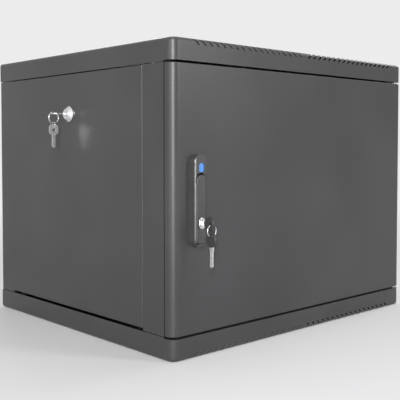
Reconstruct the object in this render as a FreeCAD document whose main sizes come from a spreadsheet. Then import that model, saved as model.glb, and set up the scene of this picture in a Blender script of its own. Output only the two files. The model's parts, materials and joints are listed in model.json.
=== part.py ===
import FreeCAD, Part
import math
import operator
import os

import Sketcher

# Wall mount network cabinet, nine rack units high, built as folded sheet steel.
# Millimetres. X is to the right, Y to the back, Z up; the origin is the centre of the underside.
# Heights "above the skin" are measured outward from the face that a fitting stands on.

SIZES = [
    # name, value, what it is
    ("width", 600, "overall width"),
    ("depth", 515, "overall depth"),
    ("height", 476, "overall height"),
    ("skin", 1.2, "sheet of covers, door and panels"),
    ("frame_sheet", 1.5, "sheet of posts and depth rails"),
    ("corner_radius", 14, "upright front corners of covers and door"),
    ("edge_radius", 5.5, "outer bend along the cover's edges"),
    ("cover_drop", 35, "height of a cover's side walls"),
    ("cover_front", 33.4, "height of a cover's front wall"),
    ("vent_count", 18, "vents in each half of a cover's front edge"),
    ("vent_pitch", 14, "distance from vent to vent"),
    ("vent_first", 53, "first vent's lower end from the cabinet's side"),
    ("vent_width", 3.2, "width across a vent"),
    ("vent_fall", 9, "how far a vent runs down the front"),
    ("vent_run", 14, "how far a vent runs back along the top"),
    ("cable_width", 240, "width of the cable entry in a cover"),
    ("cable_length", 60, "front to back length of the cable entry"),
    ("cable_back", 178, "cable entry's centre behind the cabinet's centre"),
    ("cable_lap", 12, "overlap of the blanking plate round the entry"),
    ("fan_side", 120, "fan centre from the middle of the roof"),
    ("fan_back", 20, "fan centre behind the middle of the roof"),
    ("fan_holes", 105, "spacing of a 120 mm fan's screw holes"),
    ("fan_slot_in", 17, "inner end of a fan slot's centre line"),
    ("fan_slot_out", 47, "outer end of a fan slot's centre line"),
    ("fan_slot_radius", 2.6, "half the width of a fan slot"),
    ("fan_slots", 12, "slots round a fan"),
    ("door_gap", 3.3, "gap above and below the door"),
    ("door_depth", 18.2, "depth of the door pan"),
    ("door_back_gap", 2.5, "gap between the door and the posts"),
    ("door_lip", 13, "return flange round the back of the door"),
    ("door_edge", 1.5, "bend along the top and bottom of the door"),
    ("door_back_edge", 2, "outer bend at the back of the door's sides"),
    ("hinge_in", 7, "hinge axis from the cabinet's side"),
    ("hinge_ahead", 6.5, "hinge axis ahead of the back of the door"),
    ("pin_radius", 3, "hinge pins"),
    ("collar_radius", 4.8, "head and collar of a hinge pin"),
    ("washer_radius", 5.4, "hinge washer"),
    ("running_gap", 0.06, "radial play of a pin in its hole"),
    ("pin_reach", 7, "length of a hinge pin beyond the cover's lip"),
    ("pin_grip", 30, "length of the sprung pin inside the door"),
    ("pin_head", 2, "head and collar of the hinge pins"),
    ("pin_foot", 9, "sprung pin below its guide"),
    ("pin_arm", 22, "finger arm of the sprung pin"),
    ("bracket_wide", 19, "width of a hinge bracket"),
    ("post_recess", 0.8, "posts behind the plane of covers and panels"),
    ("post_seam", 1, "seam between a post and a cover"),
    ("post_face", 49.5, "visible width of a front post"),
    ("post_front", 14, "front flange of a front post"),
    ("rear_post_face", 46, "visible width of a rear post"),
    ("rear_flange", 49, "rear flange of a rear post"),
    ("panel_seat", 14.8, "depth of the step that a side panel stands in"),
    ("panel_ledge", 16, "width of the ledge behind a side panel"),
    ("panel_gap", 0.8, "gap between a side panel and a post"),
    ("panel_top_gap", 1.4, "gap over a side panel"),
    ("panel_bottom_gap", 4.5, "gap under a side panel"),
    ("panel_edge", 1.5, "bend along a side panel's edges"),
    ("seat_gap", 0.3, "play between pieces that rest on each other"),
    ("back_half", 264, "half the width of the rear panel"),
    ("back_rim", 6, "rear panel's height inside each cover"),
    ("back_fold", 12, "folded top and bottom edge of the rear panel"),
    ("entry_width", 200, "cable entry in the rear panel"),
    ("entry_height", 50, "height of the cable entry in the rear panel"),
    ("entry_up", 385, "height of that entry's centre"),
    ("wall_side", 276, "wall bolt hole from the cabinet's middle"),
    ("wall_rise", 150, "wall bolt hole above and below the middle"),
    ("wall_hole", 5, "radius of a wall bolt hole"),
    ("rail_sheet", 2, "sheet of the mounting rails"),
    ("rack_half", 225, "half the clear width between the rails"),
    ("rail_face", 27, "front flange of a mounting rail"),
    ("rail_web", 30, "side flange of a mounting rail"),
    ("rail_set_back", 57.5, "front rails behind the cabinet's front"),
    ("rack_unit", 44.45, "one rack unit"),
    ("rack_units", 9, "rack units"),
    ("rack_hole", 9.5, "side of a square rack hole"),
    ("rack_hole_side", 232.55, "rack hole from the cabinet's middle"),
    ("rack_first", 6.35, "first hole above the foot of its unit"),
    ("rack_step", 15.875, "distance between a unit's holes"),
    ("beam_height", 30, "height of a depth rail"),
    ("beam_lip", 8, "lips of a depth rail, welded to the posts"),
    ("beam_up", 178, "depth rail's centre above or below the middle"),
    ("beam_slots", 9, "adjusting slots in a depth rail"),
    ("beam_slot_pitch", 40, "distance between adjusting slots"),
    ("beam_slot_half", 10, "half the centre line of an adjusting slot"),
    ("bolt_radius", 3, "rail bolts"),
    ("bolt_play", 0.2, "radial play of a bolt in its hole"),
    ("screw_radius", 2, "small screws"),
    ("handle_side", 45, "handle's centre line from the cabinet's side"),
    ("handle_up", 236.5, "height of the handle's centre"),
    ("base_half", 12, "half the width of the handle's base"),
    ("base_length", 138.4, "length of the handle's base"),
    ("base_high", 13.2, "height of the base's rim above the skin"),
    ("base_floor", 8.7, "height of the base's floor above the skin"),
    ("base_bevel", 1.6, "bevel round the base"),
    ("handle_screw_up", 52.592, "handle's screws above and below its centre"),
    ("clamp_short", 3.2, "clamp plate short of the base's ends"),
    ("pivot_up", 29.5, "lever's pivot above the handle's centre"),
    ("lever_half", 9, "half the width of the lever"),
    ("lever_length", 93, "lever's tip below its pivot"),
    ("lever_thick", 4.6, "thickness of the lever"),
    ("lever_corner", 5.4, "rounded corners of the lever's tip"),
    ("lever_round", 1.28, "rounded edge of the lever's face"),
    ("ear_inset", 1, "lever's ears inside its edges"),
    ("lever_play", 0.35, "gap round the lever"),
    ("well_half", 10.8, "half the width of the well round the lever's heel"),
    ("well_shift", 1.7, "well's upper end above the lever's pivot"),
    ("well_floor", 2, "height of the well's floor above the skin"),
    ("lift_up", 7, "height of the lift pin above the skin"),
    ("lift_radius", 4, "rounded ears and head round the lift pin"),
    ("lift_pin", 1.5, "radius of the lift pin"),
    ("head_half", 4, "half the width of the spindle's head"),
    ("spindle_radius", 5, "spindle through the door"),
    ("cam_thick", 2, "latch cams"),
    ("cam_back_gap", 3, "latch cam behind the door post's front"),
    ("cam_short", 1, "clearance between a cam and its keeper"),
    ("cam_width", 14, "width of a latch cam"),
    ("badge_half", 4.2, "half the width of the badge"),
    ("badge_straight", 2.6, "half the straight part of the badge"),
    ("badge_up", 49.1, "badge's centre above the handle's centre"),
    ("badge_deep", 1, "recess that the badge sits in"),
    ("badge_proud", 0.4, "badge above the base's rim"),
    ("badge_round", 0.28, "rounded edge of the badge"),
    ("screw_grip", 6, "threaded hole for the handle's screws in the base"),
    ("screw_reach", 5.4, "how far those screws go into the base"),
    ("lock_down", 62.3, "front lock below the lever's pivot"),
    ("oval_half", 6.25, "half the width of the front lock's oval face"),
    ("oval_straight", 2.25, "half the straight part of the oval"),
    ("oval_proud", 1.9, "front lock above the lever"),
    ("oval_round", 0.76, "rounded edge of the oval face"),
    ("plug_radius", 4.6, "lock plugs"),
    ("plug_proud", 0.4, "lock plug above its barrel"),
    ("plug_floor", 0.8, "floor under the front lock's plug"),
    ("blade_thick", 1.9, "front key's blade"),
    ("blade_half", 3.25, "half the width of the front key's blade"),
    ("blade_length", 30, "front key's blade outside its head"),
    ("blade_in", 5.2, "front key's blade inside the lock"),
    ("bow_radius", 10, "front key's round plastic head"),
    ("bow_thick", 5, "thickness of the plastic head"),
    ("bow_round", 1.25, "rounded edge of the plastic head"),
    ("bow_eye", 2.5, "ring hole in the plastic head"),
    ("bow_eye_out", 4.5, "ring hole beyond the head's centre"),
    ("bow_stand", 31, "head's centre above the door's skin"),
    ("ring_radius", 8.6, "front key ring, to the middle of its wire"),
    ("wire", 0.8, "radius of the key rings' wire"),
    ("side_lock_back", 11.8, "side lock behind the cabinet's middle"),
    ("side_lock_up", 371.5, "height of the side lock"),
    ("bezel_radius", 13.5, "side lock's bezel"),
    ("bezel_rim", 2.5, "straight rim of the bezel"),
    ("bezel_round", 0.75, "rounded edge of the bezel's face"),
    ("bezel_face", 8.5, "radius of the bezel's face"),
    ("bezel_high", 8, "height of the bezel"),
    ("barrel_radius", 8, "side lock's threaded barrel"),
    ("barrel_in", 20, "barrel's length behind the panel's face"),
    ("nut_half", 11, "half the width of a barrel nut across its flats"),
    ("nut_high", 4, "height of a barrel nut"),
    ("cam_nut_half", 5.1, "half the width of the latch cam's nut"),
    ("thread_past", 1, "thread beyond that nut"),
    ("side_key_thick", 1.6, "side key"),
    ("side_key_half", 3.2, "half the width of the side key's blade"),
    ("side_key_blade", 22, "length of the side key's blade"),
    ("side_bow_half", 8.5, "half the width of the side key's head"),
    ("side_bow_corner", 3.4, "cut-off corner of the side key's head"),
    ("side_bow_length", 17.2, "length of the side key's head"),
    ("side_bow_stand", 17, "head of the side key above the panel"),
    ("side_eye", 3.4, "ring hole in the side key"),
    ("side_eye_in", 8.6, "ring hole from the outer end of the side key"),
    ("side_ring", 9.3, "side key ring, to the middle of its wire"),
    ("side_ring_drop", 6.95, "side ring's centre below the key"),
    ("side_ring_out", 31.6, "side ring's centre above the panel"),
    ("link_radius", 4.8, "small link, to the middle of its wire"),
    ("link_wire", 0.6, "radius of the link's wire"),
    ("overrun", 1, "how far a cut or a root runs past an edge"),
    ("hang_gap", 0.25, "play of a hanging piece on its wire"),
]

OPERATIONS = {"+": operator.add, "-": operator.sub, "*": operator.mul, "/": operator.truediv}
CHORD = math.sqrt(2)

# Screws, bolts and round nuts, as shares of their thread's radius.
HEAD_RADIUS = 1.8
HEAD_HEIGHT = 0.9
NUT_RADIUS = 1.7
SHANK_PAST = 1.3

# A key's point and cuts, as shares of its half width, and where a cut starts in its pitch.
KEY_POINT = 0.8
BITE = 0.35
BITE_STEP = 0.25
BITE_START = 0.15
FRONT_BITES = 3
SIDE_BITES = 4


class Size:
    """A length together with the spreadsheet expression that gives it."""

    def __init__(self, value, text):
        self.value = value
        self.text = text

    def join(self, other, sign, swapped=False):
        first, second = (size_of(other), self) if swapped else (self, size_of(other))
        value = OPERATIONS[sign](first.value, second.value)
        return Size(value, f"({first.text} {sign} {second.text})")

    def __add__(self, other):
        return self.join(other, "+")

    def __radd__(self, other):
        return self.join(other, "+", swapped=True)

    def __sub__(self, other):
        return self.join(other, "-")

    def __rsub__(self, other):
        return self.join(other, "-", swapped=True)

    def __mul__(self, other):
        return self.join(other, "*")

    def __rmul__(self, other):
        return self.join(other, "*", swapped=True)

    def __truediv__(self, other):
        return self.join(other, "/")

    def __neg__(self):
        return self.join(-1, "*")


def size_of(number):
    """The number itself if it is a Size already, or else a Size with that fixed value."""
    if isinstance(number, Size):
        return number
    return Size(float(number), f"({float(number):.9f})")


doc = FreeCAD.newDocument("WallCabinet")
sheet = doc.addObject("Spreadsheet::Sheet", "Sizes")
d = {}
for row, (alias, number, meaning) in enumerate(SIZES, start=1):
    sheet.set(f"A{row}", meaning)
    sheet.set(f"B{row}", str(number))
    sheet.setAlias(f"B{row}", alias)
    d[alias] = Size(number, f"Sizes.{alias}")
doc.recompute()

# Planes and levels that several pieces share.
side = d["width"] / 2
front = d["depth"] / -2
back = d["depth"] / 2
middle = d["height"] / 2
post_side = side - d["post_recess"]
door_back = front + d["door_depth"]
post_front = door_back + d["door_back_gap"]
door_foot = d["cover_front"] + d["door_gap"]
door_top = d["height"] - door_foot
hinge_x = side - d["hinge_in"]
hinge_y = door_back - d["hinge_ahead"]
ledge_side = post_side - d["panel_seat"]
step_front = post_front + d["post_face"] - d["panel_gap"]
step_back = back - d["rear_post_face"] + d["panel_gap"]
post_foot = d["cover_drop"] + d["post_seam"]
post_top = d["height"] - post_foot
post_rear = back - d["post_recess"]
beam_inner = d["rack_half"] + d["rail_face"]
rail_front = front + d["rail_set_back"]
rail_rear = rail_front + d["beam_slot_pitch"] * (d["beam_slots"] - 1) + d["rail_web"]
handle_x = d["handle_side"] - side
pivot_z = d["handle_up"] + d["pivot_up"]
lock_z = pivot_z - d["lock_down"]
lever_under = d["base_floor"] + d["seat_gap"]
lever_face = lever_under + d["lever_thick"]
lock_face = lever_face + d["oval_proud"]
cam_y = post_front + d["frame_sheet"] + d["cam_back_gap"] - d["cam_thick"]
lock_y = d["side_lock_back"]
lock_up = d["side_lock_up"]
panel_in = side - ledge_side - d["seat_gap"]

finished = []


def bind(item, name, amount):
    """Tie one property of an object to a size."""
    amount = size_of(amount)
    item.setExpression(name, amount.text)


class Piece:
    """One sub-part, made as a PartDesign body by adding its features in turn."""

    def __init__(self, name):
        self.body = doc.addObject("PartDesign::Body", name)
        self.volume = 0
        self.body.Label = name
        finished.append(self.body)

    def plane(self, role):
        for item in self.body.Origin.OriginFeatures:
            if item.Role == role:
                return item

    def sketch(self, role, at=(0, 0, 0), tilt=0):
        """A sketch on an origin plane, moved by at in the plane's own axes and tilted about its X."""
        sketch = self.body.newObject("Sketcher::SketchObject", "Sketch")
        sketch.AttachmentSupport = (self.plane(role), [""])
        sketch.MapMode = "FlatFace"
        turn = FreeCAD.Rotation(FreeCAD.Vector(1, 0, 0), tilt)
        sketch.AttachmentOffset = FreeCAD.Placement(FreeCAD.Vector(*[size_of(a).value for a in at]), turn)
        for letter, amount in zip("xyz", at):
            bind(sketch, f"AttachmentOffset.Base.{letter}", amount)
        return sketch

    def feature(self, kind, name):
        return self.body.newObject(f"PartDesign::{kind}", name)

    def settle(self, feature, grows):
        """Recompute, and stop if the feature changed nothing or the wrong way."""
        before = self.volume
        self.body.Tip = feature
        doc.recompute()
        self.volume = self.body.Shape.Volume
        if (self.volume > before) != grows or abs(self.volume - before) < 1e-6:
            raise RuntimeError(f"{self.body.Label}: {feature.Label} did nothing")
        return feature

    def pad(self, sketch, length, backwards=False):
        pad = self.feature("Pad", "Pad")
        pad.Profile = sketch
        pad.Reversed = backwards
        bind(pad, "Length", length)
        return self.settle(pad, grows=True)

    def cut(self, sketch, depth, backwards=False):
        pocket = self.feature("Pocket", "Pocket")
        pocket.Profile = sketch
        pocket.Reversed = backwards
        bind(pocket, "Length", depth)
        return self.settle(pocket, grows=False)

    def turned(self, sketch):
        """A full revolution of the sketch about its own level axis."""
        turn = self.feature("Revolution", "Revolution")
        turn.Profile = sketch
        turn.ReferenceAxis = (sketch, ["H_Axis"])
        turn.Angle = 360
        return self.settle(turn, grows=True)

    def row(self, feature, sketch, axis, pitch, count):
        """Repeat a cut in a row along one axis of its sketch."""
        pattern = self.feature("LinearPattern", "Row")
        pattern.Originals = [feature]
        pattern.Direction = (sketch, [axis])
        bind(pattern, "Occurrences", count)
        bind(pattern, "Length", pitch * (count - 1))
        return self.settle(pattern, grows=False)

    def round_of(self, feature, sketch, count):
        """Repeat a cut in a circle round the origin of its sketch."""
        pattern = self.feature("PolarPattern", "Circle")
        pattern.Originals = [feature]
        pattern.Axis = (sketch, ["N_Axis"])
        pattern.Angle = 360
        bind(pattern, "Occurrences", count)
        return self.settle(pattern, grows=False)

    def edges(self, chosen):
        """Names of the edges whose centre passes the test, given with the edge itself."""
        shape = self.body.Tip.Shape
        return [f"Edge{n}" for n, edge in enumerate(shape.Edges, start=1) if chosen(edge)]

    def soften(self, kind, amount, chosen):
        """A fillet or chamfer on every edge that passes the test."""
        names = self.edges(chosen)
        if not names:
            raise RuntimeError(f"{self.body.Label}: no edge to soften")
        base = self.body.Tip
        feature = self.feature(kind, kind)
        feature.Base = (base, names)
        bind(feature, "Radius" if kind == "Fillet" else "Size", amount)
        self.body.Tip = feature
        doc.recompute()
        self.volume = self.body.Shape.Volume
        return feature


def near(value, size):
    return abs(value - size_of(size).value) < 0.01


def upright(edge):
    """Whether an edge is a straight line along Z."""
    box = edge.BoundBox
    return box.ZLength > 1 and box.XLength < 0.01 and box.YLength < 0.01


def level_at(edge, z):
    """Whether a whole edge lies at one height."""
    return near(edge.BoundBox.ZMin, z) and near(edge.BoundBox.ZMax, z)


def place_point(sketch, geometry, point, x, y):
    """Fix a point of a sketch at x, y from the sketch's origin."""
    for kind, amount in (("DistanceX", size_of(x)), ("DistanceY", size_of(y))):
        number = sketch.addConstraint(
            Sketcher.Constraint(kind, -1, 1, geometry, point, amount.value))
        sketch.setExpression(f"Constraints[{number}]", amount.text)


def fix_radius(sketch, geometry, radius):
    radius = size_of(radius)
    number = sketch.addConstraint(Sketcher.Constraint("Radius", geometry, radius.value))
    sketch.setExpression(f"Constraints[{number}]", radius.text)


def polygon(sketch, points):
    """A closed outline of straight lines."""
    first = sketch.GeometryCount
    corners = [FreeCAD.Vector(size_of(x).value, size_of(y).value, 0) for x, y in points]
    count = len(corners)
    for n, corner in enumerate(corners):
        sketch.addGeometry(Part.LineSegment(corner, corners[(n + 1) % count]))
    for n in range(count):
        following = first + (n + 1) % count
        sketch.addConstraint(Sketcher.Constraint("Coincident", first + n, 2, following, 1))
    for n, (x, y) in enumerate(points):
        place_point(sketch, first + n, 1, x, y)


def rectangle(sketch, x0, y0, x1, y1):
    polygon(sketch, [(x0, y0), (x1, y0), (x1, y1), (x0, y1)])


def circle(sketch, x, y, radius):
    centre = FreeCAD.Vector(size_of(x).value, size_of(y).value, 0)
    number = sketch.addGeometry(
        Part.Circle(centre, FreeCAD.Vector(0, 0, 1), size_of(radius).value))
    place_point(sketch, number, 3, x, y)
    fix_radius(sketch, number, radius)


def stadium(sketch, x0, y0, x1, y1, radius):
    """Two half circles round the given centres, which lie level or one over the other, and two lines."""
    level = near(size_of(y0).value, y1)
    a = FreeCAD.Vector(size_of(x0).value, size_of(y0).value, 0)
    b = FreeCAD.Vector(size_of(x1).value, size_of(y1).value, 0)
    up = FreeCAD.Vector(0, 0, 1)
    r = size_of(radius).value
    across = FreeCAD.Vector(0, r, 0) if level else FreeCAD.Vector(r, 0, 0)
    if level:
        turns = ((math.pi / 2, 3 * math.pi / 2), (-math.pi / 2, math.pi / 2))
    else:
        turns = ((math.pi, 2 * math.pi), (0, math.pi))
    first = sketch.GeometryCount
    for centre, (start, end) in zip((a, b), turns):
        sketch.addGeometry(Part.ArcOfCircle(Part.Circle(centre, up, r), start, end))
    sketch.addGeometry(Part.LineSegment(a + across, b + across))
    sketch.addGeometry(Part.LineSegment(a - across, b - across))
    # The arcs run anticlockwise: in a level one the first starts at the top, else at the left.
    ends = ((1, 2), (2, 1)) if level else ((2, 1), (1, 2))
    for arc, (plus, minus) in zip((first, first + 1), ends):
        line_end = 1 if arc == first else 2
        sketch.addConstraint(Sketcher.Constraint("Coincident", arc, plus, first + 2, line_end))
        sketch.addConstraint(Sketcher.Constraint("Coincident", arc, minus, first + 3, line_end))
        along = "Vertical" if level else "Horizontal"
        sketch.addConstraint(Sketcher.Constraint(along, arc, 3, arc, 1))
        sketch.addConstraint(Sketcher.Constraint(along, arc, 3, arc, 2))
    for arc, (x, y) in zip((first, first + 1), ((x0, y0), (x1, y1))):
        place_point(sketch, arc, 3, x, y)
        fix_radius(sketch, arc, radius)


def pan_plan(sketch, half, ahead, behind, radius):
    """A rectangle about the Y axis, from ahead to behind, whose two front corners are rounded."""
    centre_x, centre_y = half - radius, ahead + radius
    r = size_of(radius).value
    x, y = centre_x.value, centre_y.value
    near_y, far_y = y - r, size_of(behind).value
    first = sketch.GeometryCount
    for sign, start in ((-1, math.pi), (1, 3 * math.pi / 2)):
        round_corner = Part.Circle(FreeCAD.Vector(sign * x, y, 0), FreeCAD.Vector(0, 0, 1), r)
        sketch.addGeometry(Part.ArcOfCircle(round_corner, start, start + math.pi / 2))
    corners = [(-x, near_y), (x, near_y), (x + r, y), (x + r, far_y), (-x - r, far_y), (-x - r, y)]
    points = [FreeCAD.Vector(a, b, 0) for a, b in corners]
    front_line, right, rear, left = (first + 2 + n for n in range(4))
    for a, b in ((0, 1), (2, 3), (3, 4), (4, 5)):
        sketch.addGeometry(Part.LineSegment(points[a], points[b]))
    joined = ((first, 2, front_line, 1), (front_line, 2, first + 1, 1), (first + 1, 2, right, 1),
              (right, 2, rear, 1), (rear, 2, left, 1), (left, 2, first, 1))
    for ends in joined:
        sketch.addConstraint(Sketcher.Constraint("Coincident", *ends))
    for arc, sign, level_end, plumb_end in ((first, -1, 1, 2), (first + 1, 1, 2, 1)):
        place_point(sketch, arc, 3, sign * centre_x, centre_y)
        fix_radius(sketch, arc, radius)
        sketch.addConstraint(Sketcher.Constraint("Horizontal", arc, 3, arc, level_end))
        sketch.addConstraint(Sketcher.Constraint("Vertical", arc, 3, arc, plumb_end))
    place_point(sketch, rear, 1, half, behind)
    place_point(sketch, rear, 2, -half, behind)


def folded(path, thickness, mirror=1):
    """Outline of a folded sheet whose right-hand side, seen along the path, is filled.

    The path has right-angled bends. mirror -1 flips the finished outline left to right.
    """
    steps = []
    for (x0, y0), (x1, y1) in zip(path, path[1:]):
        dx = size_of(x1).value - size_of(x0).value
        dy = size_of(y1).value - size_of(y0).value
        steps.append((0 if abs(dx) < abs(dy) else math.copysign(1, dx),
                      0 if abs(dy) <= abs(dx) else math.copysign(1, dy)))
    offset = []
    for n, (x, y) in enumerate(path):
        around = {steps[max(n - 1, 0)], steps[min(n, len(steps) - 1)]}
        offset.append((x + sum(s[1] for s in around) * thickness,
                       y - sum(s[0] for s in around) * thickness))
    return [(mirror * x, y) for x, y in list(path) + offset[::-1]]


# --- roof and floor ------------------------------------------------------------------------


def vent_row(cover, half):
    """The slanted vents across the bent front edge, on one half of a cover."""
    run = d["vent_run"] / CHORD
    fall = d["vent_fall"] / CHORD
    first_x = half * (side - d["vent_first"])
    reach = d["vent_width"] * CHORD / 2
    lean = half * (d["vent_run"] + d["vent_fall"])
    sketch = cover.sketch("XZ_Plane", (0, d["height"], back), tilt=-45)
    polygon(sketch, [(first_x - reach, -fall), (first_x + reach, -fall),
                     (first_x + reach + lean, run), (first_x - reach + lean, run)])
    vent = cover.cut(sketch, run + d["skin"] * 2)
    step = cover.feature("LinearPattern", "Vents")
    step.Originals = [vent]
    step.Direction = (sketch, ["H_Axis"])
    step.Reversed = half > 0
    bind(step, "Occurrences", d["vent_count"])
    bind(step, "Length", d["vent_pitch"] * (d["vent_count"] - 1))
    cover.settle(step, grows=False)


def fan_grille(cover, x):
    """Radial slots and four screw holes for one fan."""
    centre = (x, d["fan_back"], d["height"])
    sketch = cover.sketch("XY_Plane", centre)
    stadium(sketch, d["fan_slot_in"], 0, d["fan_slot_out"], 0, d["fan_slot_radius"])
    slot = cover.cut(sketch, d["skin"] * 2)
    cover.round_of(slot, sketch, d["fan_slots"])
    holes = cover.sketch("XY_Plane", centre)
    half = d["fan_holes"] / 2
    for sx in (-1, 1):
        for sy in (-1, 1):
            circle(holes, sx * half, sy * half, d["screw_radius"] + d["bolt_play"])
    cover.cut(holes, d["skin"] * 2)


def cover(name, hinge_half, with_fans):
    """A pan with rounded front corners, bent edges and a front lip that carries the hinge pin."""
    part = Piece(name)
    top = d["height"]
    plan = part.sketch("XY_Plane", (0, 0, top - d["cover_drop"]))
    pan_plan(plan, side, front, back, d["corner_radius"])
    part.pad(plan, d["cover_drop"])
    cavity = part.sketch("XY_Plane", (0, 0, top - d["skin"]))
    inner = side - d["skin"]
    inner_back = back - d["skin"]
    pan_plan(cavity, inner, front + d["skin"], inner_back, d["corner_radius"] - d["skin"])
    part.cut(cavity, d["cover_front"] - d["skin"] * 2)
    part.soften("Fillet", d["edge_radius"] - d["skin"],
                lambda e: level_at(e, top - d["skin"]) and not near(e.CenterOfMass.y, inner_back))
    part.soften("Fillet", d["edge_radius"],
                lambda e: level_at(e, top) and not near(e.CenterOfMass.y, back))
    lip_level = top - d["cover_front"] + d["skin"]
    opening = part.sketch("XY_Plane", (0, 0, lip_level))
    rectangle(opening, -inner, post_front, inner, inner_back)
    part.cut(opening, d["cover_drop"])
    relief = part.sketch("XY_Plane", (0, 0, top - d["cover_front"]))
    rectangle(relief, -side - d["overrun"], front - d["overrun"], side + d["overrun"], post_front)
    part.cut(relief, d["cover_drop"])
    holes = part.sketch("XY_Plane", (0, 0, lip_level))
    circle(holes, hinge_half * hinge_x, hinge_y, d["pin_radius"] + d["running_gap"])
    part.cut(holes, d["skin"] * 2)
    for half in (-1, 1):
        vent_row(part, half)
    entry = part.sketch("XY_Plane", (0, d["cable_back"], top))
    half_x, half_y = d["cable_width"] / 2, d["cable_length"] / 2
    rectangle(entry, -half_x, -half_y, half_x, half_y)
    part.cut(entry, d["skin"] * 2)
    screws = part.sketch("XY_Plane", (0, d["cable_back"], top))
    lap = d["cable_lap"] / 2
    for sx in (-1, 1):
        for sy in (-1, 1):
            circle(screws, sx * (half_x + lap), sy * (half_y + lap),
                   d["screw_radius"] + d["running_gap"])
    part.cut(screws, d["skin"] * 2)
    if with_fans:
        for sx in (-1, 1):
            fan_grille(part, sx * d["fan_side"])
    return part


def upside_down(item):
    """Turn a piece made for the roof over, so that it serves as the floor."""
    turn = FreeCAD.Rotation(FreeCAD.Vector(0, 1, 0), 180)
    item.Placement = FreeCAD.Placement(FreeCAD.Vector(0, 0, d["height"].value), turn)
    bind(item, "Placement.Base.z", d["height"])


def cable_plate(name):
    """The blanking plate under a cover's cable entry, made in the roof's place."""
    part = Piece(name)
    half_x = d["cable_width"] / 2 + d["cable_lap"]
    half_y = d["cable_length"] / 2 + d["cable_lap"]
    sketch = part.sketch("XY_Plane", (0, d["cable_back"], d["height"] - d["skin"] * 2))
    rectangle(sketch, -half_x, -half_y, half_x, half_y)
    lap = d["cable_lap"] / 2
    for sx in (-1, 1):
        for sy in (-1, 1):
            circle(sketch, sx * (half_x - lap), sy * (half_y - lap),
                   d["screw_radius"] + d["running_gap"])
    part.pad(sketch, d["skin"])
    return part


cover("top_cover", 1, with_fans=True)
upside_down(cover("bottom_cover", -1, with_fans=False).body)
cable_plate("top_cable_plate")
upside_down(cable_plate("bottom_cable_plate").body)

# --- welded frame --------------------------------------------------------------------------


def post(name, half, path, ledge_front):
    """A folded corner post, whose ledge reaches up and down into both covers."""
    part = Piece(name)
    plan = part.sketch("XY_Plane", (0, 0, post_foot))
    polygon(plan, folded(path, d["frame_sheet"], mirror=-half))
    part.pad(plan, post_top - post_foot)
    tongue = part.sketch("XY_Plane", (0, 0, d["skin"]))
    rectangle(tongue, half * ledge_side, ledge_front,
              half * (ledge_side - d["frame_sheet"]), ledge_front + d["panel_ledge"])
    part.pad(tongue, d["height"] - d["skin"] * 2)
    return part


def front_post(name, half):
    """Front flange, side face, step for the side panel and ledge that carries the depth rails."""
    path = [(d["post_front"] - post_side, post_front), (-post_side, post_front),
            (-post_side, step_front), (-ledge_side, step_front),
            (-ledge_side, step_front + d["panel_ledge"])]
    return post(name, half, path, step_front)


def rear_post(name, half):
    """The same form turned to the back, with a wide rear flange that bolts to the wall."""
    path = [(-ledge_side, step_back - d["panel_ledge"]), (-ledge_side, step_back),
            (-post_side, step_back), (-post_side, post_rear),
            (d["rear_flange"] - post_side, post_rear)]
    part = post(name, half, path, step_back - d["panel_ledge"])
    holes = part.sketch("XZ_Plane", (0, 0, -post_rear))
    for sign in (-1, 1):
        circle(holes, half * d["wall_side"], middle + sign * d["wall_rise"], d["wall_hole"])
    part.cut(holes, d["frame_sheet"] * 2, backwards=True)
    rivets = part.sketch("XZ_Plane", (0, 0, -post_rear))
    for z in back_screw_levels:
        circle(rivets, half * back_screw_side, z, d["screw_radius"] + d["running_gap"])
    part.cut(rivets, d["frame_sheet"] * 2, backwards=True)
    return part


def depth_rail(name, half, sign):
    """A hat-section beam from post to post, with adjusting slots for the mounting rails."""
    part = Piece(name)
    centre = middle + sign * d["beam_up"]
    lip_side = ledge_side - d["frame_sheet"]
    low, high = centre - d["beam_height"] / 2, centre + d["beam_height"] / 2
    web = beam_inner + d["frame_sheet"]
    path = [(-lip_side, low - d["beam_lip"]), (-lip_side, low), (-web, low),
            (-web, high), (-lip_side, high), (-lip_side, high + d["beam_lip"])]
    section = part.sketch("XZ_Plane", (0, 0, -step_back))
    polygon(section, folded(path, d["frame_sheet"], mirror=-half))
    part.pad(section, step_back - step_front)
    slots = part.sketch("YZ_Plane", (0, 0, half * beam_inner))
    first = rail_front + d["rail_web"] / 2
    stadium(slots, first - d["beam_slot_half"], centre, first + d["beam_slot_half"], centre,
            d["bolt_radius"] + d["bolt_play"])
    slot = part.cut(slots, d["frame_sheet"] * 2, backwards=half > 0)
    part.row(slot, slots, "H_Axis", d["beam_slot_pitch"], d["beam_slots"])
    return part


def mounting_rail(name, half, face_y, inward):
    """An L-section rail with square holes, three to a rack unit. inward 1 has its web behind."""
    part = Piece(name)
    foot = middle - d["rack_unit"] * d["rack_units"] / 2
    path = [(-beam_inner, face_y + inward * d["rail_web"]), (-beam_inner, face_y),
            (-d["rack_half"], face_y)]
    plan = part.sketch("XY_Plane", (0, 0, foot))
    ordered = path[::-1] if inward > 0 else path
    polygon(plan, folded(ordered, d["rail_sheet"], mirror=-half))
    part.pad(plan, d["rack_unit"] * d["rack_units"])
    holes = part.sketch("XZ_Plane", (0, 0, -face_y))
    x, reach = half * d["rack_hole_side"], d["rack_hole"] / 2
    for n in range(3):
        z = foot + d["rack_first"] + n * d["rack_step"]
        rectangle(holes, x - reach, z - reach, x + reach, z + reach)
    unit = part.cut(holes, d["rail_sheet"], backwards=inward < 0)
    part.row(unit, holes, "V_Axis", d["rack_unit"], d["rack_units"])
    bolts = part.sketch("YZ_Plane", (0, 0, half * beam_inner))
    for sign in (-1, 1):
        circle(bolts, face_y + inward * d["rail_web"] / 2, middle + sign * d["beam_up"],
               d["bolt_radius"] + d["bolt_play"] / 2)
    part.cut(bolts, d["rail_sheet"] * 2, backwards=half < 0)
    return part


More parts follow.
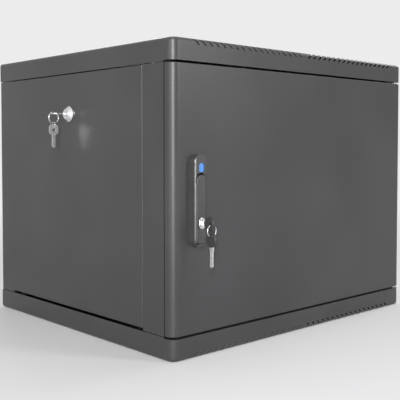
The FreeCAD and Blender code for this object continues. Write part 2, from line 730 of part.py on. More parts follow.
back_screw_side = (d["back_half"] + post_side - d["rear_flange"]) / 2
back_screw_levels = [middle + n * (middle - d["cover_drop"] * 2) / 2 for n in (-2, 0, 2)]


def rear_panel():
    """The flat rear wall with folded top and bottom edges and a cable entry."""
    part = Piece("rear_panel")
    plane_y = post_rear - d["frame_sheet"]
    low, high = d["cover_drop"] - d["back_rim"], d["height"] - d["cover_drop"] + d["back_rim"]
    path = [(plane_y - d["back_fold"], low), (plane_y, low), (plane_y, high),
            (plane_y - d["back_fold"], high)]
    section = part.sketch("YZ_Plane", (0, 0, -d["back_half"]))
    polygon(section, folded(path[::-1], d["skin"]))
    part.pad(section, d["back_half"] * 2)
    entry = part.sketch("XZ_Plane", (0, 0, -plane_y))
    half_x, half_z = d["entry_width"] / 2, d["entry_height"] / 2
    rectangle(entry, -half_x, d["entry_up"] - half_z, half_x, d["entry_up"] + half_z)
    part.cut(entry, d["skin"] * 2, backwards=True)
    holes = part.sketch("XZ_Plane", (0, 0, -plane_y))
    for sx in (-1, 1):
        for z in back_screw_levels:
            circle(holes, sx * back_screw_side, z, d["screw_radius"] + d["running_gap"])
    part.cut(holes, d["skin"] * 2, backwards=True)
    return part


def side_panel(name, half):
    """A shallow pan that stands in the step between the posts, with a round hole for its lock."""
    part = Piece(name)
    low = d["cover_drop"] + d["panel_bottom_gap"]
    high = d["height"] - d["cover_drop"] - d["panel_top_gap"]
    ahead, behind = step_front + d["panel_gap"], step_back - d["panel_gap"]
    outline = part.sketch("YZ_Plane", (0, 0, half * side))
    rectangle(outline, ahead, low, behind, high)
    part.pad(outline, panel_in, backwards=half > 0)
    part.soften("Fillet", d["panel_edge"], lambda e: near(e.BoundBox.XMin, half * side)
                and near(e.BoundBox.XMax, half * side))
    hollow = part.sketch("YZ_Plane", (0, 0, half * (side - panel_in)))
    rectangle(hollow, ahead + d["skin"], low + d["skin"], behind - d["skin"], high - d["skin"])
    part.cut(hollow, panel_in - d["skin"], backwards=half > 0)
    hole = part.sketch("YZ_Plane", (0, 0, half * side))
    circle(hole, lock_y, lock_up, d["barrel_radius"] + d["running_gap"])
    part.cut(hole, d["skin"] * 2, backwards=half < 0)
    return part


SIDES = (("left", -1), ("right", 1))
LEVELS = (("lower", -1), ("upper", 1))
for word, half in SIDES:
    front_post(f"front_post_{word}", half)
    rear_post(f"rear_post_{word}", half)
    side_panel(f"side_panel_{word}", half)
    for level, sign in LEVELS:
        depth_rail(f"depth_rail_{level}_{word}", half, sign)
    mounting_rail(f"mounting_rail_front_{word}", half, rail_front, 1)
    mounting_rail(f"mounting_rail_rear_{word}", half, rail_rear, -1)
rear_panel()

# --- door and its hinge --------------------------------------------------------------------


def door_panel():
    """A deep pan with rounded upright edges and a return flange all round its back."""
    part = Piece("door_panel")
    tall = door_top - door_foot
    plan = part.sketch("XY_Plane", (0, 0, door_foot))
    pan_plan(plan, side, front, door_back, d["corner_radius"])
    part.pad(plan, tall)
    inner = side - d["skin"]
    cavity = part.sketch("XY_Plane", (0, 0, door_foot + d["skin"]))
    pan_plan(cavity, inner, front + d["skin"], door_back - d["skin"],
             d["corner_radius"] - d["skin"])
    part.cut(cavity, tall - d["skin"] * 2, backwards=True)
    part.soften("Fillet", d["door_back_edge"],
                lambda e: upright(e) and near(e.CenterOfMass.y, door_back))
    part.soften("Fillet", d["door_edge"],
                lambda e: (level_at(e, door_foot) or level_at(e, door_top))
                and near(e.CenterOfMass.y, front))
    opening = part.sketch("XZ_Plane", (0, 0, -door_back))
    reach = side - d["door_lip"]
    rectangle(opening, -reach, door_foot + d["door_lip"], reach, door_top - d["door_lip"])
    part.cut(opening, d["skin"] * 2, backwards=True)
    pins = part.sketch("XY_Plane", (0, 0, door_foot))
    circle(pins, hinge_x, hinge_y, d["pin_radius"] + d["running_gap"])
    part.cut(pins, tall, backwards=True)
    holes = part.sketch("XZ_Plane", (0, 0, -front))
    circle(holes, handle_x, pivot_z, d["spindle_radius"] + d["lever_play"])
    for z in handle_screw_levels:
        circle(holes, handle_x, z, d["screw_radius"] + d["bolt_play"])
    part.cut(holes, d["skin"] * 2)
    return part


def hinge_bracket(name, sign):
    """A foot welded to the inside of the door and a shelf that guides a hinge pin."""
    part = Piece(name)
    end = door_foot if sign < 0 else door_top
    shelf = end - sign * (d["skin"] + d["pin_grip"])
    skin_y = front + d["skin"]
    bend_x, bend_y = side - d["corner_radius"], front + d["corner_radius"]
    left = bend_x - d["bracket_wide"]
    foot = part.sketch("XZ_Plane", (0, 0, -skin_y))
    rectangle(foot, left, shelf, bend_x, end - sign * d["skin"])
    part.pad(foot, d["frame_sheet"], backwards=True)
    plan = part.sketch("XY_Plane", (0, 0, shelf))
    reach = d["corner_radius"] - d["skin"] - d["seat_gap"]
    curve = [(bend_x + reach * math.sin(turn), bend_y - reach * math.cos(turn))
             for turn in (math.pi / 6, math.pi / 3, math.pi / 2)]
    shelf_back = door_back - d["skin"] - d["seat_gap"]
    polygon(plan, [(left, shelf_back), (left, skin_y), (bend_x, skin_y)] + curve
            + [(bend_x + reach, shelf_back)])
    part.pad(plan, d["frame_sheet"], backwards=sign > 0)
    hole = part.sketch("XY_Plane", (0, 0, shelf))
    circle(hole, hinge_x, hinge_y, d["pin_radius"] + d["running_gap"])
    part.cut(hole, d["frame_sheet"] * 2, backwards=sign < 0)
    return part


handle_screw_levels = [d["handle_up"] + n * d["handle_screw_up"] for n in (-1, 1)]
door_panel()
for level, sign in LEVELS:
    hinge_bracket(f"hinge_bracket_{level}", sign)


def lower_hinge_pin():
    """A headed pin fixed in the floor's lip, on which the door turns."""
    part = Piece("lower_hinge_pin")
    lip = d["cover_front"] - d["skin"]
    head = part.sketch("XY_Plane", (0, 0, lip - d["pin_head"]))
    circle(head, hinge_x, hinge_y, d["collar_radius"])
    part.pad(head, d["pin_head"])
    shank = part.sketch("XY_Plane", (0, 0, lip))
    circle(shank, hinge_x, hinge_y, d["pin_radius"])
    part.pad(shank, d["skin"] * 2 + d["door_gap"] + d["pin_grip"] + d["pin_reach"])


def hinge_washer():
    """The nylon washer that carries the door's weight."""
    part = Piece("hinge_washer")
    plan = part.sketch("XY_Plane", (0, 0, d["cover_front"]))
    circle(plan, hinge_x, hinge_y, d["washer_radius"])
    circle(plan, hinge_x, hinge_y, d["pin_radius"] + d["running_gap"])
    part.pad(plan, d["door_gap"] - d["seat_gap"])


def upper_hinge_pin():
    """A pin bent at its foot for the finger, with a collar that its spring pushes up."""
    part = Piece("upper_hinge_pin")
    shelf = door_top - d["skin"] - d["pin_grip"]
    foot = shelf - d["pin_foot"]
    tip = d["height"] - d["cover_front"] + d["skin"] + d["pin_reach"]
    shank = part.sketch("XY_Plane", (0, 0, foot))
    circle(shank, hinge_x, hinge_y, d["pin_radius"])
    part.pad(shank, tip - foot)
    arm = part.sketch("YZ_Plane", (0, 0, hinge_x))
    circle(arm, hinge_y, foot + d["pin_radius"], d["pin_radius"])
    part.pad(arm, d["pin_arm"], backwards=True)
    collar = part.sketch("XY_Plane", (0, 0, door_top - d["skin"] - d["seat_gap"]))
    circle(collar, hinge_x, hinge_y, d["collar_radius"])
    part.pad(collar, d["pin_head"], backwards=True)


lower_hinge_pin()
hinge_washer()
upper_hinge_pin()

# --- swing handle --------------------------------------------------------------------------


def above(height):
    """Where a sketch on the XZ plane goes to lie at a height above the door's skin."""
    return (0, 0, height - front)


def handle_base():
    """The tray of the handle: floor, rim on three sides, and a well for the lever's heel."""
    part = Piece("handle_base")
    rim = d["base_high"]
    straight = d["base_length"] / 2 - d["base_half"]
    outline = part.sketch("XZ_Plane", above(0))
    stadium(outline, handle_x, d["handle_up"] - straight, handle_x, d["handle_up"] + straight,
            d["base_half"])
    part.pad(outline, rim)
    part.soften("Chamfer", d["base_bevel"],
                lambda e: near(e.BoundBox.YMin, front - rim) and near(e.BoundBox.YMax, front - rim))
    tray = part.sketch("XZ_Plane", above(rim))
    rectangle(tray, handle_x - d["lever_half"] - d["lever_play"],
              pivot_z - d["lever_length"] - d["lever_play"] * 2,
              handle_x + d["base_half"] * 2, pivot_z + d["well_half"])
    part.cut(tray, rim - d["base_floor"])
    well = part.sketch("XZ_Plane", above(rim))
    stadium(well, handle_x, pivot_z, handle_x, pivot_z + d["well_shift"], d["well_half"])
    part.cut(well, rim - d["well_floor"])
    bore = part.sketch("XZ_Plane", above(rim))
    circle(bore, handle_x, pivot_z, d["spindle_radius"] + d["running_gap"])
    part.cut(bore, rim * 2)
    seat = part.sketch("XZ_Plane", above(rim))
    badge_oval(seat, d["running_gap"])
    part.cut(seat, d["badge_deep"])
    threads = part.sketch("XZ_Plane", above(0))
    for z in handle_screw_levels:
        circle(threads, handle_x, z, d["screw_radius"] + d["running_gap"])
    part.cut(threads, d["screw_grip"], backwards=True)


def badge_oval(sketch, play):
    centre = d["handle_up"] + d["badge_up"]
    stadium(sketch, handle_x, centre - d["badge_straight"], handle_x,
            centre + d["badge_straight"], d["badge_half"] + play)


def handle_badge():
    part = Piece("handle_badge")
    outline = part.sketch("XZ_Plane", above(d["base_high"] - d["badge_deep"]))
    badge_oval(outline, 0)
    part.pad(outline, d["badge_deep"] + d["badge_proud"])
    face = front - d["base_high"] - d["badge_proud"]
    part.soften("Fillet", d["badge_round"],
                lambda e: near(e.BoundBox.YMin, face) and near(e.BoundBox.YMax, face))


def clamp_plate():
    """The plate inside the door that the handle's base is screwed to."""
    part = Piece("handle_clamp_plate")
    plate = part.sketch("XZ_Plane", (0, 0, -front - d["skin"]))
    reach = d["base_length"] / 2 - d["clamp_short"]
    rectangle(plate, handle_x - d["base_half"], d["handle_up"] - reach,
              handle_x + d["base_half"], d["handle_up"] + reach)
    circle(plate, handle_x, pivot_z, d["spindle_radius"] + d["running_gap"])
    for z in handle_screw_levels:
        circle(plate, handle_x, z, d["screw_radius"] + d["running_gap"])
    part.pad(plate, d["cam_thick"], backwards=True)


def lever():
    """The swing lever: rounded heel with two ears for the lift pin, and a hole for the lock."""
    part = Piece("lever")
    tip = pivot_z - d["lever_length"]
    face = front - lever_face
    body = part.sketch("XZ_Plane", above(lever_under))
    rectangle(body, handle_x - d["lever_half"], tip, handle_x + d["lever_half"], pivot_z)
    part.pad(body, d["lever_thick"])
    part.soften("Fillet", d["lever_corner"], lambda e: near(e.BoundBox.ZMax, tip)
                and e.BoundBox.YLength > 1)
    heel = part.sketch("XZ_Plane", above(lever_under))
    circle(heel, handle_x, pivot_z, d["lever_half"])
    part.pad(heel, d["lever_thick"])
    slack = d["head_half"] + d["seat_gap"]
    for half in (-1, 1):
        ear = part.sketch("YZ_Plane", (0, 0, handle_x + half * slack))
        stadium(ear, front - lever_under - d["seat_gap"], pivot_z, front - d["lift_up"], pivot_z,
                d["lift_radius"])
        part.pad(ear, d["lever_half"] - d["ear_inset"] - slack, backwards=half < 0)
    groove = part.sketch("YZ_Plane", (0, 0, handle_x + slack))
    circle(groove, front - d["lift_up"], pivot_z, d["lift_radius"] + d["seat_gap"] * 2)
    part.cut(groove, slack * 2)
    eye = part.sketch("YZ_Plane", (0, 0, handle_x + d["lever_half"]))
    circle(eye, front - d["lift_up"], pivot_z, d["lift_pin"] + d["running_gap"])
    part.cut(eye, d["lever_half"] * 2)
    lock = part.sketch("XZ_Plane", above(lever_face))
    lock_oval(lock, d["running_gap"])
    part.cut(lock, d["lever_thick"] * 2)
    part.soften("Fillet", d["lever_round"],
                lambda e: near(e.BoundBox.YMin, face) and near(e.BoundBox.YMax, face)
                and (abs(e.CenterOfMass.x - handle_x.value) > d["oval_half"].value
                     or abs(e.CenterOfMass.z - lock_z.value) > d["oval_half"].value * 2))


def lock_oval(sketch, play):
    stadium(sketch, handle_x, lock_z - d["oval_straight"], handle_x, lock_z + d["oval_straight"],
            d["oval_half"] + play)


def lift_pin():
    part = Piece("lever_pin")
    section = part.sketch("YZ_Plane", (0, 0, handle_x - d["lever_half"] + d["ear_inset"]))
    circle(section, front - d["lift_up"], pivot_z, d["lift_pin"])
    part.pad(section, (d["lever_half"] - d["ear_inset"]) * 2)


def spindle():
    """The head that holds the lift pin, the round shaft through the door and the threaded end."""
    part = Piece("handle_spindle")
    foot = d["well_floor"] + d["seat_gap"]
    block = part.sketch("YZ_Plane", (0, 0, handle_x - d["head_half"]))
    rectangle(block, front - d["lift_up"], pivot_z - d["lift_radius"],
              front - foot, pivot_z + d["lift_radius"])
    part.pad(block, d["head_half"] * 2)
    crown = part.sketch("YZ_Plane", (0, 0, handle_x - d["head_half"]))
    circle(crown, front - d["lift_up"], pivot_z, d["lift_radius"])
    part.pad(crown, d["head_half"] * 2)
    shaft = part.sketch("XZ_Plane", above(foot))
    circle(shaft, handle_x, pivot_z, d["spindle_radius"])
    part.pad(shaft, cam_y - front + foot, backwards=True)
    square = part.sketch("XZ_Plane", (0, 0, -cam_y))
    reach = d["spindle_radius"] / CHORD
    rectangle(square, handle_x - reach, pivot_z - reach, handle_x + reach, pivot_z + reach)
    part.pad(square, d["cam_thick"], backwards=True)
    thread = part.sketch("XZ_Plane", (0, 0, -cam_y - d["cam_thick"]))
    circle(thread, handle_x, pivot_z, d["bolt_radius"])
    part.pad(thread, d["nut_high"] + d["thread_past"], backwards=True)
    hole = part.sketch("YZ_Plane", (0, 0, handle_x + d["head_half"]))
    circle(hole, front - d["lift_up"], pivot_z, d["lift_pin"])
    part.cut(hole, d["head_half"] * 2)


def latch_cam():
    """The cam behind the door post's flange."""
    part = Piece("latch_cam")
    half = d["cam_width"] / 2
    tip = d["post_front"] - post_side + d["cam_short"]
    outline = part.sketch("XZ_Plane", (0, 0, -cam_y))
    stadium(outline, tip + half, pivot_z, handle_x, pivot_z, half)
    reach = d["spindle_radius"] / CHORD + d["running_gap"]
    rectangle(outline, handle_x - reach, pivot_z - reach, handle_x + reach, pivot_z + reach)
    part.pad(outline, d["cam_thick"], backwards=True)


def hexagon(sketch, x, y, half_flats):
    """A hexagon with two level sides."""
    reach = half_flats * 2 / math.sqrt(3)
    polygon(sketch, [(x + reach * math.cos(n * math.pi / 3), y + reach * math.sin(n * math.pi / 3))
                     for n in range(6)])


def cam_nut():
    part = Piece("latch_cam_nut")
    outline = part.sketch("XZ_Plane", (0, 0, -cam_y - d["cam_thick"]))
    hexagon(outline, handle_x, pivot_z, d["cam_nut_half"])
    circle(outline, handle_x, pivot_z, d["bolt_radius"])
    part.pad(outline, d["nut_high"], backwards=True)


handle_base()
handle_badge()
clamp_plate()
lever()
lift_pin()
spindle()
latch_cam()
cam_nut()

# --- front lock and its keys ---------------------------------------------------------------


def front_barrel():
    part = Piece("front_lock_barrel")
    body = part.sketch("XZ_Plane", above(lever_under))
    lock_oval(body, 0)
    part.pad(body, d["lever_thick"] + d["oval_proud"])
    part.soften("Fillet", d["oval_round"],
                lambda e: near(e.BoundBox.YMin, front - lock_face)
                and near(e.BoundBox.YMax, front - lock_face))
    bore = part.sketch("XZ_Plane", above(lock_face))
    circle(bore, handle_x, lock_z, d["plug_radius"] + d["running_gap"])
    part.cut(bore, front_plug_length)


def front_plug():
    part = Piece("front_lock_plug")
    face = lock_face + d["plug_proud"]
    body = part.sketch("XZ_Plane", above(face))
    circle(body, handle_x, lock_z, d["plug_radius"])
    part.pad(body, front_plug_length + d["plug_proud"] - d["running_gap"], backwards=True)
    keyway = part.sketch("XZ_Plane", above(face))
    reach_x = d["blade_thick"] / 2 + d["running_gap"]
    reach_z = d["blade_half"] + d["running_gap"]
    rectangle(keyway, handle_x - reach_x, lock_z - reach_z, handle_x + reach_x, lock_z + reach_z)
    part.cut(keyway, d["blade_in"] + d["running_gap"])


def hang(part, at, axis=(1, 0, 0), angle=0):
    """Move a piece made round the origin to its place."""
    turn = FreeCAD.Rotation(FreeCAD.Vector(*axis), angle)
    place(part, at, turn)


def place(part, at, turn):
    item = part.body if isinstance(part, Piece) else part
    item.Placement = FreeCAD.Placement(FreeCAD.Vector(*[size_of(a).value for a in at]), turn)
    for letter, amount in zip("xyz", at):
        bind(item, f"Placement.Base.{letter}", amount)


def notched_blade(start, end, half, notches):
    """Outline of a key's blade along the first axis, with a pointed tip and cuts on one edge."""
    point = half * KEY_POINT
    outline = [(start, half), (start, -half)]
    pitch = (end - start - point * 2) / notches
    for n in range(notches):
        low = start + point + pitch * n
        depth = half * (BITE + BITE_STEP * (n % 2))
        outline += [(low + pitch * BITE_START, -half), (low + pitch / 2, depth - half),
                    (low + pitch * (1 - BITE_START), -half)]
    return outline + [(end - point, -half), (end, 0), (end - point, half)]


def plastic_key(name, blade_end, at, angle):
    """A steel blade in a round plastic head, made with the head's centre at the origin."""
    blade = Piece(f"{name}_blade")
    outline = blade.sketch("YZ_Plane", (0, 0, d["blade_thick"] / -2))
    rooted = d["bow_radius"] / 2
    polygon(outline, notched_blade(rooted, blade_end, d["blade_half"], FRONT_BITES))
    blade.pad(outline, d["blade_thick"])
    hang(blade, at, angle=angle)
    head = Piece(f"{name}_head")
    disc = head.sketch("YZ_Plane", (0, 0, d["bow_thick"] / -2))
    circle(disc, 0, 0, d["bow_radius"])
    circle(disc, -d["bow_eye_out"], 0, d["bow_eye"])
    head.pad(disc, d["bow_thick"])
    head.soften("Fillet", d["bow_round"], lambda e: e.Curve.TypeId == "Part::GeomCircle"
                and near(e.Curve.Radius, d["bow_radius"]))
    slot = head.sketch("XZ_Plane", (0, 0, -rooted))
    reach_x, reach_z = d["blade_thick"] / 2, d["blade_half"]
    rectangle(slot, -reach_x, -reach_z, reach_x, reach_z)
    head.cut(slot, d["bow_radius"])
    hang(head, at, angle=angle)


def wire_ring(name, radius, wire, at, axis):
    """A closed ring of round wire; axis is the direction through its eye."""
    ring = doc.addObject("Part::Torus", name)
    ring.Label = name
    bind(ring, "Radius1", radius)
    bind(ring, "Radius2", wire)
    place(ring, at, FreeCAD.Rotation(FreeCAD.Vector(0, 0, 1), FreeCAD.Vector(*axis)))
    finished.append(ring)


def sagitta(radius, half_chord):
    """How far a circle falls below its top at a distance from the middle."""
    value = radius.value - math.sqrt(radius.value ** 2 - half_chord.value ** 2)
    root = f"sqrt({radius.text} ^ 2 - {half_chord.text} ^ 2)"
    return Size(value, f"({radius.text} - {root})")


front_plug_length = d["lever_thick"] + d["oval_proud"] - d["plug_floor"]
front_barrel()
front_plug()
key_face = lock_face + d["plug_proud"]
plastic_key("front_key", d["bow_stand"] - key_face + d["blade_in"],
            (handle_x, front - d["bow_stand"], lock_z), 0)
eye_y = front - d["bow_stand"] - d["bow_eye_out"]
bow_fall = sagitta(d["ring_radius"], d["bow_thick"] / 2)
hang_drop = d["bow_eye"] - d["wire"] - d["hang_gap"] - bow_fall
ring_top = lock_z - hang_drop
ring_z = ring_top - d["ring_radius"]
wire_ring("front_key_ring", d["ring_radius"], d["wire"], (handle_x, eye_y, ring_z), (0, 1, 0))
spare_eye = ring_z - d["ring_radius"] - hang_drop
plastic_key("front_spare_key", d["bow_radius"] + d["blade_length"],
            (handle_x, eye_y, spare_eye - d["bow_eye_out"]), -90)

# --- side locks and their keys -------------------------------------------------------------

cam_x = side - d["barrel_in"] - d["seat_gap"]


def side_barrel(name, half):
    """The turned barrel: conical bezel outside, threaded body inside."""
    part = Piece(name)
    bore = d["plug_radius"] + d["running_gap"]
    face = side + d["bezel_high"]
    profile = part.sketch("XZ_Plane", (0, lock_up, -lock_y))
    outline = [(face, bore), (face, d["bezel_face"]), (side + d["bezel_rim"], d["bezel_radius"]),
               (side, d["bezel_radius"]), (side, d["barrel_radius"]),
               (side - d["barrel_in"], d["barrel_radius"]), (side - d["barrel_in"], bore)]
    polygon(profile, [(half * x, r) for x, r in outline])
    part.turned(profile)
    part.soften("Fillet", d["bezel_round"],
                lambda e: near(abs(e.BoundBox.XMin), face) and near(abs(e.BoundBox.XMax), face)
                and e.BoundBox.YLength > bore.value * 2 + 1)


def barrel_nut(name, half):
    part = Piece(name)
    outline = part.sketch("YZ_Plane", (0, 0, half * (side - d["skin"])))
    hexagon(outline, lock_y, lock_up, d["nut_half"])
    circle(outline, lock_y, lock_up, d["barrel_radius"])
    part.pad(outline, d["nut_high"], backwards=half > 0)


def side_plug(name, half):
    part = Piece(name)
    face = side + d["bezel_high"] + d["plug_proud"]
    body = part.sketch("YZ_Plane", (0, 0, half * face))
    circle(body, lock_y, lock_up, d["plug_radius"])
    part.pad(body, face - cam_x, backwards=half > 0)
    end = part.sketch("YZ_Plane", (0, 0, half * cam_x))
    circle(end, lock_y, lock_up, d["bolt_radius"])
    part.pad(end, d["cam_thick"] * 2, backwards=half > 0)
    keyway = part.sketch("YZ_Plane", (0, 0, half * face))
    reach_y = d["side_key_half"] + d["running_gap"]
    reach_z = d["side_key_thick"] / 2 + d["running_gap"]
    rectangle(keyway, lock_y - reach_y, lock_up - reach_z, lock_y + reach_y, lock_up + reach_z)
    deep = face - side - d["side_bow_stand"] + d["side_key_blade"] + d["running_gap"]
    part.cut(keyway, deep, backwards=half < 0)


def side_cam(name, half):
    """The cam that turns behind the upper depth rail's lip."""
    part = Piece(name)
    reach = d["cam_width"] / 2 - 1
    keeper = middle + d["beam_up"] - d["beam_height"] / 2 - d["beam_lip"]
    outline = part.sketch("YZ_Plane", (0, 0, half * cam_x))
    stadium(outline, lock_y, lock_up, lock_y, keeper - d["cam_short"] - reach, reach)
    circle(outline, lock_y, lock_up, d["bolt_radius"])
    part.pad(outline, d["cam_thick"], backwards=half > 0)


def metal_key(name, at, turn):
    """A flat steel key: its head starts at the origin and its blade points along X."""
    part = Piece(name)
    start = d["side_bow_length"]
    outline = part.sketch("XY_Plane", (0, 0, d["side_key_thick"] / -2))
    half, shoulder = d["side_bow_half"], d["side_bow_corner"]
    polygon(outline, [(0, half - shoulder), (0, shoulder - half), (shoulder, -half),
                      (start - shoulder, -half), (start, shoulder - half),
                      (start, half - shoulder), (start - shoulder, half), (shoulder, half)])
    circle(outline, d["side_eye_in"], 0, d["side_eye"])
    part.pad(outline, d["side_key_thick"])
    blade = part.sketch("XY_Plane", (0, 0, d["side_key_thick"] / -2))
    polygon(blade, notched_blade(start - d["overrun"], start + d["side_key_blade"],
                                 d["side_key_half"], SIDE_BITES))
    part.pad(blade, d["side_key_thick"])
    place(part, at, turn)


for word, half in SIDES:
    side_barrel(f"side_lock_barrel_{word}", half)
    barrel_nut(f"side_lock_nut_{word}", half)
    side_plug(f"side_lock_plug_{word}", half)
    side_cam(f"side_lock_cam_{word}", half)

quarter = FreeCAD.Rotation(FreeCAD.Vector(0, 1, 0), 90)
edge_on = FreeCAD.Rotation(FreeCAD.Vector(0, 0, 1), 90)
key_end = side + d["side_bow_stand"] + d["side_bow_length"]
metal_key("side_key", (-key_end, lock_y, lock_up), FreeCAD.Rotation())
ring_x = -(side + d["side_ring_out"])
side_ring_z = lock_up - d["side_ring_drop"]
wire_ring("side_key_ring", d["side_ring"], d["wire"], (ring_x, lock_y, side_ring_z), (0, 1, 0))
link_top = side_ring_z - d["side_ring"] + d["wire"] + d["link_wire"] + d["hang_gap"]
link_z = link_top - d["link_radius"]
wire_ring("side_key_link", d["link_radius"], d["link_wire"], (ring_x, lock_y, link_z), (1, 0, 0))
side_spare_eye = link_z - d["link_radius"] + d["link_wire"] + d["hang_gap"] - d["side_eye"]
metal_key("side_spare_key", (ring_x, lock_y, side_spare_eye + d["side_eye_in"]),
          edge_on.multiply(quarter))

# --- screws --------------------------------------------------------------------------------


def rod(radius, length, at, axis):
    """A cylinder from a point along an axis."""
    item = doc.addObject("Part::Cylinder", "Rod")
    bind(item, "Radius", radius)
    bind(item, "Height", length)
    place(item, at, FreeCAD.Rotation(FreeCAD.Vector(0, 0, 1), FreeCAD.Vector(*axis)))
    return item


def shift(at, axis, amount):
    return tuple(a + n * amount for a, n in zip(at, axis))


def screw(at, axis, radius, grip, nut=None):
    """A pan-head screw. at is under its head, and axis is the way its shank points."""
    outward = tuple(-n for n in axis)
    parts = [rod(radius * HEAD_RADIUS, radius * HEAD_HEIGHT, at, outward), rod(radius, grip, at, axis)]
    if nut is not None:
        parts.append(rod(radius * NUT_RADIUS, radius * HEAD_HEIGHT, shift(at, axis, nut), axis))
    joined = doc.addObject("Part::MultiFuse", "Screw")
    joined.Shapes = parts
    return joined


def screws(name, pieces):
    """Screws of one kind, kept as one sub-part."""
    group = doc.addObject("Part::Compound", name)
    group.Label = name
    group.Links = pieces
    finished.append(group)


plate_level = d["skin"] * 2
entry_x = (d["cable_width"] + d["cable_lap"]) / 2
entry_y = (d["cable_length"] + d["cable_lap"]) / 2
screws("cable_plate_screws", [
    screw((sx * entry_x, d["cable_back"] + sy * entry_y, level), (0, 0, up),
          d["screw_radius"], plate_level)
    for sx in (-1, 1) for sy in (-1, 1)
    for level, up in ((plate_level, -1), (d["height"] - plate_level, 1))])
screws("rear_panel_screws", [
    screw((sx * back_screw_side, post_rear - d["frame_sheet"] - d["skin"], z), (0, 1, 0),
          d["screw_radius"], d["skin"] + d["frame_sheet"])
    for sx in (-1, 1) for z in back_screw_levels])
rail_grip = d["rail_sheet"] + d["frame_sheet"]
screws("rail_bolts", [
    screw((half * (beam_inner - d["rail_sheet"]), y, middle + sign * d["beam_up"]),
          (half, 0, 0), d["bolt_radius"], rail_grip + d["bolt_radius"] * SHANK_PAST, nut=rail_grip)
    for _, half in SIDES for _, sign in LEVELS
    for y in (rail_front + d["rail_web"] / 2, rail_rear - d["rail_web"] / 2)])
clamp_back = front + d["skin"] + d["cam_thick"]
screws("handle_screws", [
    screw((handle_x, clamp_back, z), (0, -1, 0), d["screw_radius"],
          d["skin"] + d["cam_thick"] + d["screw_reach"])
    for z in handle_screw_levels])

# --- checking and writing ------------------------------------------------------------------

doc.recompute()
for item in doc.Objects:
    if "Invalid" in item.State or "Error" in item.State:
        raise RuntimeError(f"{item.Label} failed: {item.State}")
os.makedirs("parts", exist_ok=True)
for item in finished:
    if item.Shape.isNull() or not item.Shape.isValid():
        raise RuntimeError(f"{item.Label} has no valid shape")
    item.Shape.exportStep(f"parts/{item.Label}.step")
    print(f"{item.Label}: {len(item.Shape.Solids)} solid, {item.Shape.Volume:.1f} mm3")
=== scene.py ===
import json
import math

import bmesh
import bpy
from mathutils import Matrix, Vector


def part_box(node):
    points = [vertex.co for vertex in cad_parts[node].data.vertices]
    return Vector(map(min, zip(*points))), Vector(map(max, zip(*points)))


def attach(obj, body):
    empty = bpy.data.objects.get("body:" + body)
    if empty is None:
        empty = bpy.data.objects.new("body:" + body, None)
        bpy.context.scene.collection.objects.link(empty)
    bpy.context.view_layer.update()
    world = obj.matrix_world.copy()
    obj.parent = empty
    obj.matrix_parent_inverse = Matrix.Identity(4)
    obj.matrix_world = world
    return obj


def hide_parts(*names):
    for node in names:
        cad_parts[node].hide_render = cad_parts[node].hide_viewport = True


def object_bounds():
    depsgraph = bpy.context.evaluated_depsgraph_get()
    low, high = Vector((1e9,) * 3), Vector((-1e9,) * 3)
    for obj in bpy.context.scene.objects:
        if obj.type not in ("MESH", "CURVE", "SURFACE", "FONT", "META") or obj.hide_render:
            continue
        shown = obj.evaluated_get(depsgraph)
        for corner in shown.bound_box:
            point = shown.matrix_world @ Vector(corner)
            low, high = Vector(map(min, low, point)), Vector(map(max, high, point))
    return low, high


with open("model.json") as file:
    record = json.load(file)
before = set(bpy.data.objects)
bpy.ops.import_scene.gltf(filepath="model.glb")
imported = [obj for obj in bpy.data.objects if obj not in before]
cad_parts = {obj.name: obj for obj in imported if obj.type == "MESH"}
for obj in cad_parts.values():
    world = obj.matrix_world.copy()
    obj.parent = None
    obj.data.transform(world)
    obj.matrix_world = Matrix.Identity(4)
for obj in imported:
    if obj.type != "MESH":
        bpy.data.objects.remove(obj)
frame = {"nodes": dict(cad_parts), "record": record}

# Every position here is in metres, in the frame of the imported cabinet: X to the right as seen
# from the front, Y to the back, Z up, with the origin under the middle of the base.

cad_low, cad_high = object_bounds()
scene = bpy.context.scene
scene.view_settings.view_transform = "Standard"

LENS_MM, SENSOR_MM, LENS_SHIFT = 65.65, 36.0, -0.07
VIEWPOINT = (-0.9835, -1.0569, 0.3199)
TILT_DEGREES, HEADING_DEGREES = 87.83, -42.71

# The sky's level as light on the cabinet, and as the camera and reflections see it and the far
# floor.
AMBIENT, BACKDROP = 0.24, 0.84
SKY_COLOUR = (1.0, 1.0, 1.0, 1.0)

# Dark flags that only reflections see. Each has its direction, the cosines of the angles from it
# at which the flag starts and is full, and the share of the backdrop's level left there.
FLAGS = (((-0.12, -0.99, 0.0), 0.90, 0.975, 0.25),
         ((0.92, -0.39, 0.05), 0.82, 0.98, 0.45))

# Each lamp's name, place, the point that it faces, width and height, and watts.
MIDDLE = (0, 0, 0.24)
LAMPS = (("Strip", (-2.5, -2.5, 1.05), MIDDLE, (0.22, 1.9), 150),
         ("Front", (1.25, -2.75, 1.2), (-0.2, -0.26, 0.4), (0.6, 0.9), 27),
         ("Side", (-3.1, -0.75, 0.9), (-0.3, -0.2, 0.24), (0.7, 1.6), 16),
         ("Top", (0.3, 0.1, 2.8), MIDDLE, (2.0, 2.0), 12),
         ("Rear", (1.6, 3.0, 2.5), (0.2, 0.25, 0.2), (1.6, 1.6), 36),
         ("Right", (3.4, -0.2, 2.2), (0.3, 0, 0.2), (1.4, 1.4), 26))

# How far from the origin the floor starts to fade into the backdrop and has faded, how far it
# reaches, and how little it lies below the base, so that the two faces stay apart.
FLOOR_COLOUR = (0.80, 0.80, 0.81, 1.0)
FADE_START, FADE_END = 0.8, 2.2
FLOOR_REACH, FLOOR_DROP = 30.0, 0.0002

# Nearly all of a noise texture's values lie between these.
NOISE_LOW, NOISE_HIGH = 0.3, 0.7

